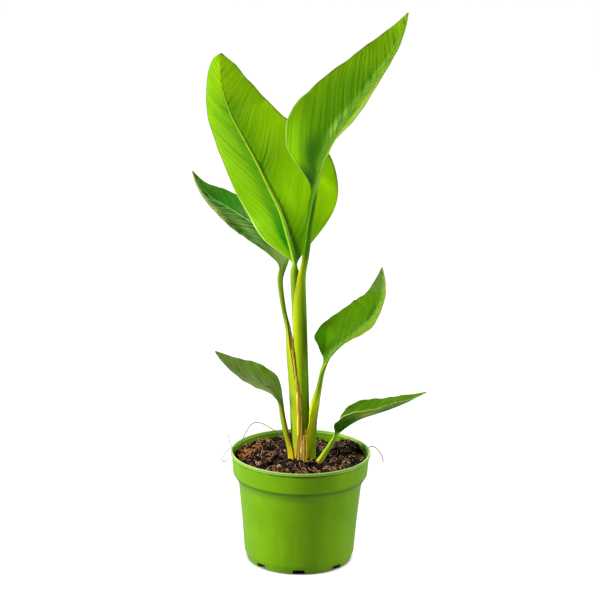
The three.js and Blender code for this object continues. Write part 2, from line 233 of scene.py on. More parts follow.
pot_profile = [
    (hub, 0, 0), (18, 0, 0.8), (21, floor_rise, 0.8), (43, floor_rise, 0.8), (46, 0, 0.6),
    (foot_radius, 0, 0.9), (*body_foot, 0.8), (*body_low, 3), (*body_high, 3), (*shoulder, 4),
    (*collar_foot, 0.4),
    (collar_top - 0.1, lip_foot - 1.4, 0.3), (collar_top - 0.5, lip_foot - 0.9, 0.3),
    (collar_top - 0.4, lip_foot - 0.3, 0.3), (rim_radius, lip_foot, 0.5),
    (rim_radius, pot_height, 0.9), (rim_radius - 2.2, pot_height, 0.8),
    (collar_top - pot_wall, lip_foot - 0.6, 0.6), (collar_foot[0] - pot_wall, collar_foot[1] + 0.6, 0.8),
    (shoulder[0] - pot_wall, shoulder[1] + 0.6, 0.8), (body_low[0] - pot_wall, body_low[1], 3),
    (body_foot[0] - pot_wall, body_foot[1], 0.8), (foot_radius - 2, pot_wall, 0.6), (47.2, pot_wall, 0.6),
    (44.2, floor_rise + pot_wall, 0.6), (19.8, floor_rise + pot_wall, 0.6), (16.8, pot_wall, 0.6),
    (hub, pot_wall, 0),
]


def noise_in(tree, vector, scale, detail, rough=0.5, distortion=0.0):
    return put(tree, "TexNoise", {
        "Vector": vector, "Scale": scale, "Detail": detail, "Roughness": rough, "Distortion": distortion,
    }).outputs["Fac"]


def scaled(tree, vector, scale):
    return put(tree, "Mapping", {"Vector": vector, "Scale": scale}).outputs[0]


def parts_of(tree, vector):
    return put(tree, "SeparateXYZ", {0: vector}).outputs


def band(tree, value, begins, full, fading, gone):
    """1 where value lies between full and fading, and 0 below begins and above gone."""
    return times(tree, fade(tree, value, begins, full), fade(tree, value, gone, fading))


def mixed(tree, share, first, second):
    return put(tree, "Mix", {0: share, 6: first, 7: second}, data_type="RGBA").outputs[2]


def washed(tree, colour, *layers):
    """A colour with others laid over it in turn. A layer is (mask, strength, paint-chart colour)."""
    for mask, strength, over in layers:
        colour = mixed(tree, times(tree, mask, strength), colour, paint(*over))
    return colour


def bumped(tree, height, strength, depth, under=None, **settings):
    """A surface normal with height in it; under is the normal that it is laid on."""
    inputs = {"Strength": strength, "Distance": depth, "Height": height}
    if under is not None:
        inputs["Normal"] = under
    return put(tree, "Bump", inputs, **settings).outputs[0]


# Bands round the wall, in metres: where each begins, is full, starts to fade and is gone.
# Painted shade under the collar's edge and in the groove below the lip; painted highlights on lip and rim.
collar_shade = (0.084, 0.0898, 0.0899, 0.0906)
lip_shade = (0.1066, 0.1082, 0.109, 0.1095)
lip_highlight = (0.1093, 0.1098, 0.1101, 0.1106)
rim_highlight = (0.1112, 0.1119)
inner_wall = (0.0673, 0.0669)
above_collar = (0.0905, 0.092)

pot_green, tree, shader = new_finish("pot_green")
place = place_on(tree)
cloud = noise_in(tree, place, 22.0, 4.0, 0.6)
flow = noise_in(tree, scaled(tree, place, (60, 60, 5)), 2.0, 5.0)
grain = noise_in(tree, place, 1500.0, 2.0)
scuff = noise_in(tree, scaled(tree, place, (30, 30, 300)), 3.0, 6.0)
rise = parts_of(tree, place)[2]
level = put(tree, "VectorMath", {0: place, 1: (1, 1, 0)}, operation="MULTIPLY").outputs[0]
# The inner wall above the collar is darkened to olive, more along the flow lines.
inside = times(tree, fade(tree, length_of(tree, level), *inner_wall), fade(tree, rise, *above_collar))
inner_darkening = sum_of(tree, "MULTIPLY_ADD", fade(tree, flow, 0.35, 0.7), 0.35, 0.35)
highlighted = sum_of(tree, "MAXIMUM", band(tree, rise, *lip_highlight), fade(tree, rise, *rim_highlight))
# The pot's colours with flow lines and scuffs, then its darker inside and the painted shade and highlight
# bands.
colour = washed(
    tree, mixed(tree, fade(tree, cloud, 0.3, 0.7), paint(98, 146, 3), paint(108, 156, 5)),
    (fade(tree, flow, 0.5, 0.85), 0.35, (132, 176, 16)), (fade(tree, scuff, 0.62, 0.8), 0.22, (150, 190, 70)),
    (band(tree, rise, *collar_shade), 0.6, (40, 84, 0)), (inside, inner_darkening, (58, 76, 14)),
    (band(tree, rise, *lip_shade), 0.7, (60, 104, 2)), (highlighted, 0.45, (196, 218, 140)))
worn = sum_of(tree, "ADD", ranged(tree, cloud, 0.36, 0.5), times(tree, fade(tree, scuff, 0.55, 0.75), 0.18))
feed(tree, shader, {
    "Base Color": colour, "Roughness": worn, "Specular IOR Level": 0.22, "Specular Tint": (1, 1, 0.4, 1),
    "Normal": bumped(tree, grain, 0.12, 0.0001, bumped(tree, flow, 0.08, 0.0002))})

pot = turned("nursery_pot", rounded(pot_profile), pot_turns, [pot_green])
notch_points, notch_faces = [], []
for k in range(drains):
    turn = Matrix.Rotation(-math.pi / 2 + k * 2 * math.pi / drains, 4, "Z")
    start = len(notch_points)
    for x in (foot_radius - 8, foot_radius + 6):
        for y, z in ((-1, -1), (1, -1), (1, 0.72), (0.86, 1), (-0.86, 1), (-1, 0.72)):
            notch_points.append(turn @ Vector(in_metres(x, y * drain_width / 2, z * drain_height)))
    notch_faces += [tuple(start + i for i in reversed(range(6))), tuple(start + 6 + i for i in range(6))]
    for i in range(6):
        notch_faces.append((start + i, start + (i + 1) % 6, start + 6 + (i + 1) % 6, start + 6 + i))
notches = add_piece("drain_cutters", notch_points, notch_faces, [])
cut = pot.modifiers.new("drains", "BOOLEAN")
cut.object = notches
cut.solver = "EXACT"
bored = bpy.data.meshes.new_from_object(pot.evaluated_get(bpy.context.evaluated_depsgraph_get()))
pot.modifiers.clear()
pot.data = bored
bpy.data.objects.remove(notches)
pot.data.set_sharp_from_angle(angle=math.radians(35))
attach(pot, "root")
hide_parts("pot")


# ---- Potting mix --------------------------------------------------------------------------
# Moist peat pressed round the stems, heaped at the right and sunk behind them. Its crumbs, root
# fibres, coir and perlite are separate small pieces lying on the peat.
soil_level = 104
soil_edge = collar_foot[0] - pot_wall + 0.2
peat_rings = 120
peat_turns = 360
draw = random.Random(11)


def soil_height(x, y):
    """Height of the fill's surface in mm, without its crumbs."""
    def mound(cx, cy, wide, high):
        return high * math.exp(-((x - cx) / wide) ** 2 - ((y - cy) / wide) ** 2)
    swell = 0.6 * math.sin(0.09 * x + 1.1) + 0.6 * math.sin(0.11 * y - 0.05 * x)
    clods = 0.8 * math.sin(0.31 * x + 0.13 * y) * math.sin(0.27 * y - 0.09 * x + 0.8)
    return soil_level + swell + clods + mound(46, 34, 15, 8) + mound(2, -8, 20, 1.2) - mound(26, 48, 12, 6)


def rough_height(x, y):
    """The same with lumps from a centimetre down to half a millimetre."""
    height = soil_height(x, y)
    for step, size in ((9, 2.0), (4.2, 1.9), (1.9, 1.0), (0.9, 0.4)):
        height += size * noise.noise(Vector((x / step, y / step, 3.7)))
    pit = noise.noise(Vector((x / 5.5 + 40, y / 5.5, 9.1)))
    return height - 6 * max(0, pit - 0.2)


def on_soil(x, y, lift):
    return Vector(in_metres(x, y, rough_height(x, y) + lift))


points = [on_soil(0, 0, 0)]
faces = [(0, 1 + j, 1 + (j + 1) % peat_turns) for j in range(peat_turns)]
for i in range(1, peat_rings + 1):
    points += [on_soil(*on_circle(soil_edge * i / peat_rings, j, peat_turns), 0) for j in range(peat_turns)]
for r, z in ((soil_edge, 91), (shoulder[0] - 2, 81.5), (body_low[0] - 2, body_low[1]),
             (body_foot[0] - 2, body_foot[1]), (foot_radius - 2.5, 2)):
    points += [in_metres(*on_circle(r, j, peat_turns), z) for j in range(peat_turns)]
for start in range(1, len(points) - peat_turns, peat_turns):
    faces += ring_faces(start, start + peat_turns, peat_turns)
faces.append(tuple(len(points) - 1 - j for j in range(peat_turns)))

dark_peat, tree, shader = new_finish("dark_peat")
place = place_on(tree)
patchy = noise_in(tree, place, 120.0, 6.0, 0.7)
crumbs = put(tree, "TexVoronoi", {"Vector": place, "Scale": 620.0, "Randomness": 1.0}).outputs
threads = noise_in(tree, place, 420.0, 3.0, distortion=2.5)
crumb_tone = put(tree, "SeparateColor", {0: crumbs["Color"]}).outputs[0]
colour = mixed(tree, fade(tree, patchy, 0.35, 0.68), paint(5, 2, 1), paint(27, 15, 10))
colour = mixed(tree, fade(tree, crumb_tone, 0.8, 1.0), colour, paint(58, 33, 22))
colour = washed(tree, colour, (band(tree, threads, 0.56, 0.62, 0.62, 0.68), 0.35, (104, 66, 42)))
feed(tree, shader, {
    "Base Color": colour, "Roughness": ranged(tree, crumb_tone, 0.55, 0.95), "Specular IOR Level": 0.15,
    "Normal": bumped(tree, crumbs["Distance"], 0.8, 0.0006, bumped(tree, patchy, 0.9, 0.0012))})

peat = add_piece("peat_fill", points, faces, [dark_peat])
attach(peat, "root")
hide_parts("potting_mix")


def lump(points, faces, centre, size, flat=0.6):
    """One crumb: a rough ball of 20 corners, squashed and turned at random."""
    start = len(points)
    angle = draw.uniform(0, 6.28)
    turn = Matrix.Rotation(angle, 3, (draw.uniform(-1, 1), draw.uniform(-1, 1), draw.uniform(0.2, 1)))
    seed = draw.uniform(0, 100)
    rings, around = 4, 6
    shape = [Vector((0, 0, 1))]
    for i in range(1, rings):
        for j in range(around):
            a, b = math.pi * i / rings, 2 * math.pi * (j + 0.5 * i) / around
            shape.append(Vector((math.sin(a) * math.cos(b), math.sin(a) * math.sin(b), math.cos(a))))
    shape.append(Vector((0, 0, -1)))
    for p in shape:
        p = p * (1 + 0.55 * noise.noise(p * 1.3 + Vector((seed, 0, 0))))
        p = turn @ Vector((p.x, p.y * 0.75, p.z * flat))
        points.append(Vector(centre) + p * size * mm)
    last = start + len(shape) - 1
    faces += [(start, start + 1 + j, start + 1 + (j + 1) % around) for j in range(around)]
    for i in range(rings - 2):
        faces += ring_faces(start + 1 + i * around, start + 1 + (i + 1) * around, around)
    faces += [(last, last - around + (j + 1) % around, last - around + j) for j in range(around)]


def strand(points, faces, path, radius, sides=5):
    """A thin round thread along a path of Vectors in metres, tapered at both ends."""
    start = len(points)
    last = len(path) - 1
    for i, centre in enumerate(path):
        along = (path[min(i + 1, last)] - path[max(i - 1, 0)]).normalized()
        across = (across - along * across.dot(along) if i else along.orthogonal()).normalized()
        up = along.cross(across)
        size = radius * mm * (1 if 0 < i < last else 0.35)
        for j in range(sides):
            angle = 2 * math.pi * j / sides
            points.append(centre + (across * math.cos(angle) + up * math.sin(angle)) * size)
    for i in range(last):
        faces += ring_faces(start + (i + 1) * sides, start + i * sides, sides)
    faces.append(tuple(start + j for j in reversed(range(sides))))
    faces.append(tuple(len(points) - sides + j for j in range(sides)))


# The stem and the side shoot's stalk: x, y and how far off them the loose bits lie.
kept_clear = ((1.5, 0, 14.5), (18, -12.6, 4))
thread_reach = 64.5


def anywhere(reach=64.0):
    """A random spot on the soil, clear of what grows out of it."""
    while True:
        x, y = draw.uniform(-reach, reach), draw.uniform(-reach, reach)
        if math.hypot(x, y) < reach and all(math.hypot(x - a, y - b) > clear for a, b, clear in kept_clear):
            return x, y


def plain_finish(name, dark, light, scale, rough, depth=0.0003, split=(0.34, 0.66)):
    """A dull natural finish: two tones in blotches, split at these noise values, with a matching grain."""
    finish, tree, shader = new_finish(name)
    tone = noise_in(tree, place_on(tree), scale, 5.0, 0.65)
    feed(tree, shader, {
        "Base Color": mixed(tree, fade(tree, tone, *split), paint(*dark), paint(*light)),
        "Roughness": ranged(tree, tone, rough - 0.12, rough), "Specular IOR Level": 0.12,
        "Normal": bumped(tree, tone, 0.6, depth)})
    return finish


def soil_piece(name, points, faces, finish):
    piece = add_piece(name, points, faces, [finish])
    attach(piece, "root")


points, faces = [], []
for k in range(900):
    x, y = anywhere()
    size = draw.choice((0.8, 1.1, 1.5, 2.1, 3.0, 4.0))
    lump(points, faces, on_soil(x, y, 0.2 * size), size)
soil_piece("peat_crumbs", points, faces,
           plain_finish("crumb_brown", (5, 3, 2), (74, 42, 29), 130.0, 0.8, depth=0.0008, split=(0.48, 0.74)))

points, faces = [], []
for k in range(50):
    x, y = anywhere(62)
    lump(points, faces, on_soil(x, y, 0.6), draw.uniform(0.8, 2.2), 0.5)
soil_piece("bark_chips", points, faces,
           plain_finish("chip_brown", (48, 20, 10), (108, 58, 36), 200.0, 0.85, depth=0.0006))


def curly(x, y, length, curl, lift, steps=12):
    """A thread that wanders over the soil from (x, y), length and lift in mm."""
    heading = draw.uniform(0, 2 * math.pi)
    bend = draw.uniform(-curl, curl)
    path = []
    for i in range(steps + 1):
        path.append(on_soil(x, y, lift * math.sin(math.pi * i / steps) + 0.2 + draw.uniform(0, 0.3)))
        heading += bend / steps + draw.uniform(-0.35, 0.35)
        x += length / steps * math.cos(heading)
        y += length / steps * math.sin(heading)
        if math.hypot(x, y) > thread_reach:
            heading += math.pi / 2
            x, y = x * 0.97, y * 0.97
    return path


points, faces = [], []
for k in range(190):
    path = curly(*anywhere(), draw.uniform(9, 26), 8, draw.uniform(1.2, 3.6))
    strand(points, faces, path, draw.choice((0.13, 0.17, 0.22, 0.3)))
soil_piece("root_fibres", points, faces,
           plain_finish("fibre_tan", (126, 80, 46), (218, 174, 122), 300.0, 0.7))

points, faces = [], []
for k in range(60):
    turn, reach = draw.gauss(math.pi, 0.5), draw.uniform(50, 63)
    x, y = reach * math.cos(turn), reach * math.sin(turn)
    line = curly(x, y, draw.uniform(7, 20), 5, draw.uniform(1.0, 5.0))
    strand(points, faces, line, draw.uniform(0.14, 0.28))
for k in range(30):
    line = curly(*anywhere(), draw.uniform(5, 14), 5, draw.uniform(0.8, 2.4))
    strand(points, faces, line, draw.uniform(0.14, 0.24))
soil_piece("coir_threads", points, faces,
           plain_finish("coir_orange", (136, 64, 22), (224, 146, 76), 260.0, 0.8))

points, faces = [], []
perlite_spots = [(-43, -23), (-59, 14), (-22, -33), (-20, -32), (-36, -12), (40, -20), (52, 4), (10, -40)]
for x, y in perlite_spots + [anywhere(60) for k in range(14)]:
    lump(points, faces, on_soil(x, y, 0.5), draw.uniform(0.45, 0.9), 0.9)
soil_piece("perlite", points, faces,
           plain_finish("perlite_white", (196, 196, 192), (248, 246, 240), 900.0, 0.7))

points, faces = [], []
lump(points, faces, on_soil(-43, 2, 1.2), 3.0, 0.35)
soil_piece("wood_chip", points, faces,
           plain_finish("chip_beige", (176, 150, 110), (226, 206, 170), 300.0, 0.8))


# ---- Hairs over the rim -------------------------------------------------------------------
# Fine grey rootlets that stand out of the soil and hang over the rim: a long arc at the left, small
# loops beside it, and one that droops over the right side.
def smooth_path(corners, steps=8):
    """A path in metres that runs smoothly through corners given in mm."""
    path = []
    for i in range(len(corners) - 1):
        a, b, c, d = (Vector(corners[min(max(i + k, 0), len(corners) - 1)]) for k in (-1, 0, 1, 2))
        for j in range(steps):
            t = j / steps
            path.append((b + (c - a) * 0.5 * t + (3 * (c - b) - (c - a) - (d - b) * 0.5) * t * t
                         + ((c - a) * 0.5 + (d - b) * 0.5 - 2 * (c - b)) * t ** 3) * mm)
    path.append(Vector(corners[-1]) * mm)
    return path


# Each hair's radius, and the corners of its path.
hair_lines = [
    (0.42, [(-62, 18, 108), (-57, 18, 121), (-50, 18, 133), (-42, 18, 135), (-33, 18, 131), (-24, 18, 125),
            (-13, 18, 117), (-10, 19, 105)]),
    (0.3, [(-64, 2, 107), (-66, 0, 113.5), (-69, -2, 116), (-71, -3, 121), (-72.5, -3, 129)]),
    (0.3, [(-66, 4, 108), (-69.5, 0, 114), (-74, -3, 111), (-77, -4, 107), (-79, -4, 103), (-76, -4, 100.5),
           (-72.5, -3, 104)]),
    (0.44, [(64, 12, 106), (68.5, 10, 113.4), (74, 9, 114.3), (79, 8, 110), (82, 8, 104), (83.5, 8, 98)]),
]
points, faces = [], []
for radius, corners in hair_lines:
    strand(points, faces, smooth_path(corners), radius, 6)
soil_piece("rootlet_hairs", points, faces,
           plain_finish("hair_grey", (70, 66, 62), (130, 124, 116), 500.0, 0.6))


# ---- Rootstock ----------------------------------------------------------------------------
# The crown and its fleshy tan roots, inside the soil. The solid keeps its shape and only gets its skin.
root_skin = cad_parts["rootstock"].data.materials
root_skin.clear()
root_skin.append(plain_finish("root_skin", (150, 112, 66), (206, 172, 118), 180.0, 0.8))


# ---- Leaves: how each is grown ------------------------------------------------------------
# A leaf is one thick leathery sheet, from the base that clasps the stem to the tip. Its cross-section is
# carried along rows of sizes; its side veins run forward from the midrib and stand in low pleats.
sheath_edge = 0.6
blade_edge = 0.5
crease_width = 0.15
flutter = 0.35
stem_lean = -0.042
stem_at_soil = 0.1
stem_foot = 98.6
base_steps = 5
blade_steps = 14


def leaf_row(at, face, half, fold, curl, thick, edge, rib_half, swell=1, wave=0):
    return [*at, *face, *half, *fold, *curl, thick, edge, rib_half, swell, wave]


def sheath_rows(keel, inner, offset, thick, spans):
    """A clasping base, a crescent round the stem's line. A span is (height, half angle, distance off it)."""
    out_x, out_y = math.cos(math.radians(keel)), math.sin(math.radians(keel))
    rows = []
    for z, span, away in spans:
        width = inner * math.radians(span)
        middle = stem_at_soil + stem_lean * (z - 100)
        at = (middle + offset[0] + (inner + away) * out_x, offset[1] + (inner + away) * out_y, z)
        rows.append(leaf_row(
            at, (-out_x, -out_y, 0), (width, width), (0, 0), (span, span), thick, sheath_edge, width, 2))
    return rows


def stalk_rows(stalk):
    """A free stalk, nearly round, with a shallow channel on its upper face."""
    return [
        leaf_row(at, face, (r, r), (0, 0), (42, 42), 1.75 * r, 0.45 * r + 0.4, 1.05 * r)
        for at, face, r in stalk
    ]


def blade_rows(rows, face, fold, curl, rib, wave, clasp=(0, 0)):
    """A blade. A row is (place, half widths); face is the way it looks at the foot and at the tip.

    Half widths, fold and curl are given left and right of the midrib, and clasp adds to the fold at the foot.
    """
    made = []
    for k, (at, half) in enumerate(rows):
        t = k / (len(rows) - 1)
        ease = min(1, 3 * t + 0.25) * min(1, 4 * (1 - t) + 0.3)
        looks = [a + (b - a) * t for a, b in zip(*face)]
        folds = [bend * ease + clasp[side] * (1 - t) ** 4 for side, bend in enumerate(fold)]
        made.append(leaf_row(at, looks, half, folds, curl, blade_edge + rib * (1 - t) ** 1.6, blade_edge,
                             0.5 + 2.3 * (1 - t) ** 1.8, 1, wave * t * (1 - t) * 4))
    return made


def between(rows, at):
    """A smooth curve through rows of numbers; at counts rows from 0."""
    last = len(rows) - 1
    i = min(int(at), last - 1)
    t = at - i
    a, b, c, d = (rows[min(max(i + k, 0), last)] for k in (-1, 0, 1, 2))
    rise, fall, step = (c - a) / 2, (d - b) / 2, c - b
    return b + rise * t + (3 * step - 2 * rise - fall) * t * t + (rise + fall - 2 * step) * t ** 3


def half_section(values, sign, stops, fine=np.linspace(0, 1, 120)):
    """One half's width, and across, rise and facing angle of its upper face at each stop from the midrib."""
    half, fold, curl = (values[6], values[8], values[10]) if sign < 0 else (values[7], values[9], values[11])

    def facing(share):
        return np.radians(fold * np.minimum(1, share / crease_width) + curl * share)
    steps = np.diff(fine) * half
    middle = facing((fine[1:] + fine[:-1]) / 2)
    across = np.concatenate([[0], np.cumsum(steps * np.cos(middle))])
    rise = np.concatenate([[0], np.cumsum(steps * np.sin(middle))])
    return half, *(np.interp(stops, fine, line) for line in (across, rise, facing(fine)))


def grow_leaf(name, base, blade, veins, pleat, finishes):
    """Lofts a leaf from its rows. finishes are those of its face and its back.

    veins is ((lean left, right), sweep, spacing) of the side veins; pleat is their height left and right.
    """
    rows = [np.array(r, float) for r in base + blade]
    blade_start = len(base)
    last = len(rows) - 1
    ats = []
    for k in range(last):
        steps = base_steps if k < blade_start - 1 else blade_steps
        ats += [k + i / steps for i in range(steps)]
    ats.append(last)
    stops = np.concatenate([np.linspace(0, 0.2, 12), np.linspace(0.2, 1, 26)[1:]])
    lean, sweep, spacing = veins
    middles = np.array([between(rows, at)[:3] for at in ats])
    walked = np.concatenate([[0], np.cumsum(np.linalg.norm(np.diff(middles, axis=0), axis=1))])
    zero = np.interp(blade_start, ats, walked)
    reach = walked[-1] - zero
    points, lengths, shares = [], [], []
    for at, far in zip(ats, walked):
        values = between(rows, at)
        along = between(rows, min(at + 0.05, last))[:3] - between(rows, max(at - 0.05, 0))[:3]
        along /= np.linalg.norm(along)
        up = values[3:6] - along * np.dot(values[3:6], along)
        up /= np.linalg.norm(up)
        side = np.cross(along, up)
        thick, edge, rib_half, swell, wave = values[12:]
        on_blade = min(max((at - blade_start) / 1.5, 0), 1) * min(max((last - at) / 1.5, 0), 1)
        t = (far - zero) / reach if far > zero else (far - zero) / max(zero, 1)
        spots = []
        for sign in (-1, 1):
            half, across, rise, facing = half_section(values, sign, stops)
            out = stops * abs(half)
            bulge = np.cos(math.pi / 2 * np.minimum(1, out / rib_half))
            depth = edge + (thick - edge) * np.maximum(bulge, 0) ** swell
            phase = (far - zero - lean[sign > 0] * out - sweep * out * out) / spacing
            wander = np.array([noise.noise(Vector((p * 0.37, sign * 3, 1.7))) for p in phase])
            body = np.minimum(1, stops * 5) * np.minimum(1, (1.02 - stops) * 5)
            ridge = np.sin(2 * math.pi * phase + 4 * wander) + 1.2 * wander
            ridge = pleat[sign > 0] * on_blade * body * ridge
            ripple = wave * stops ** 2 * math.sin(2.1 * at + sign)
            ripple = ripple + flutter * on_blade * stops ** 4 * math.sin(7.3 * at + 2 * sign) + ridge
            made = []
            for i, s in enumerate(stops):
                top = values[:3] + side * (sign * across[i]) + up * (rise[i] + ripple[i])
                low = top - depth[i] * (up * math.cos(facing[i]) - side * sign * math.sin(facing[i]))
                made.append((top, low, (sign * out[i] / 100, (far - zero) / 100), (0.5 + 0.5 * sign * s, t)))
            spots += made[::-1] if sign < 0 else made[1:]
        points += [spot[0] for spot in spots] + [spot[1] for spot in spots]
        lengths.append([spot[2] for spot in spots])
        shares.append([spot[3] for spot in spots])
    width = 2 * len(stops) - 1
    faces, uses = [], []

    def quad(rings, columns, low, use):
        faces.append([(2 * rings[i] + low[i]) * width + columns[i] for i in range(4)])
        uses.append((use, rings, columns))

    for i in range(len(ats) - 1):
        for j in range(width - 1):
            quad((i, i, i + 1, i + 1), (j, j + 1, j + 1, j), (0, 0, 0, 0), 0)
            quad((i, i + 1, i + 1, i), (j, j, j + 1, j + 1), (1, 1, 1, 1), 1)
        quad((i, i + 1, i + 1, i), (0, 0, 0, 0), (0, 0, 1, 1), 1)
        quad((i, i, i + 1, i + 1), (width - 1,) * 4, (0, 1, 1, 0), 1)
    for j in range(width - 1):
        quad((0,) * 4, (j, j, j + 1, j + 1), (0, 1, 1, 0), 1)
        quad((len(ats) - 1,) * 4, (j, j + 1, j + 1, j), (0, 0, 1, 1), 1)
    piece = add_piece(name, [np.array(p) * mm for p in points], faces, finishes)
    mesh = piece.data
    mesh.polygons.foreach_set("material_index", [use[0] for use in uses])
    for title, grid in (("lengths", lengths), ("shares", shares)):
        layer = mesh.uv_layers.new(name=title)
        pairs = [grid[r][c] for _, rings, columns in uses for r, c in zip(rings, columns)]
        layer.data.foreach_set("uv", [value for pair in pairs for value in pair])
    mesh.set_sharp_from_angle(angle=math.radians(50))
    return piece


def new_group(name, inputs, outputs):
    """A node group with these sockets, what it is given, and the node that hands on its results."""
    group = bpy.data.node_groups.new(name, "ShaderNodeTree")
    for way, sockets in (("INPUT", inputs), ("OUTPUT", outputs)):
        for title, kind in sockets.items():
            group.interface.new_socket(title, in_out=way, socket_type="NodeSocket" + kind)
    return group, group.nodes.new("NodeGroupInput").outputs, group.nodes.new("NodeGroupOutput")


# Side veins, as values from 0 to 1 that follow them: hair-fine lines, strong lines, broad bands and creases.
vein_lines, given, results = new_group(
    "vein_lines",
    {"Lengths": "Vector", "Lean Left": "Float", "Lean Right": "Float", "Sweep": "Float", "Seed": "Float"},
    {"Fine": "Float", "Strong": "Float", "Broad": "Float", "Crease": "Float"})
tree = vein_lines
across, along, _ = parts_of(tree, given["Lengths"])
out = sum_of(tree, "ABSOLUTE", across)
lean = ranged(tree, sum_of(tree, "GREATER_THAN", across, 0.0), given["Lean Left"], given["Lean Right"])
run = sum_of(tree, "SUBTRACT", sum_of(tree, "SUBTRACT", along, times(tree, out, lean)),
             times(tree, times(tree, out, out), given["Sweep"]))
lane = sum_of(tree, "MULTIPLY_ADD", sum_of(tree, "SIGN", across), 3.0, given["Seed"])


def vein_noise(along_scale, out_scale, detail, lane=lane):
    """Noise that is stretched along the veins."""
    where = {0: times(vein_lines, run, along_scale), 1: times(vein_lines, out, out_scale), 2: lane}
    return noise_in(vein_lines, put(vein_lines, "CombineXYZ", where).outputs[0], 1.0, detail)


off_line = sum_of(tree, "SUBTRACT", vein_noise(12.0, 0.7, 0.0, sum_of(tree, "ADD", lane, 7.0)), 0.5)
feed(tree, results, {
    "Fine": fade(tree, vein_noise(110.0, 2.0, 2.0), 0.38, 0.66),
    "Strong": fade(tree, vein_noise(26.0, 1.2, 2.0), 0.42, 0.72),
    "Broad": fade(tree, vein_noise(9.0, 1.5, 2.0), 0.3, 0.7),
    "Crease": times(tree, fade(tree, sum_of(tree, "ABSOLUTE", off_line), 0.03, 0.005),
                    fade(tree, vein_noise(7.0, 2.6, 1.0), 0.42, 0.56))})

# A soft-edged oval on a leaf, placed by its shares of the width and the length.
soft_oval, given, results = new_group(
    "soft_oval", {"Shares": "Vector", "Place": "Vector", "Size": "Vector"}, {"Mask": "Float"})
tree = soft_oval
offset = put(tree, "VectorMath", {0: given["Shares"], 1: given["Place"]}, operation="SUBTRACT").outputs[0]
offset = put(tree, "VectorMath", {0: offset, 1: given["Size"]}, operation="DIVIDE").outputs[0]
feed(tree, results, {"Mask": fade(tree, length_of(tree, offset), 1.0, 0.15)})


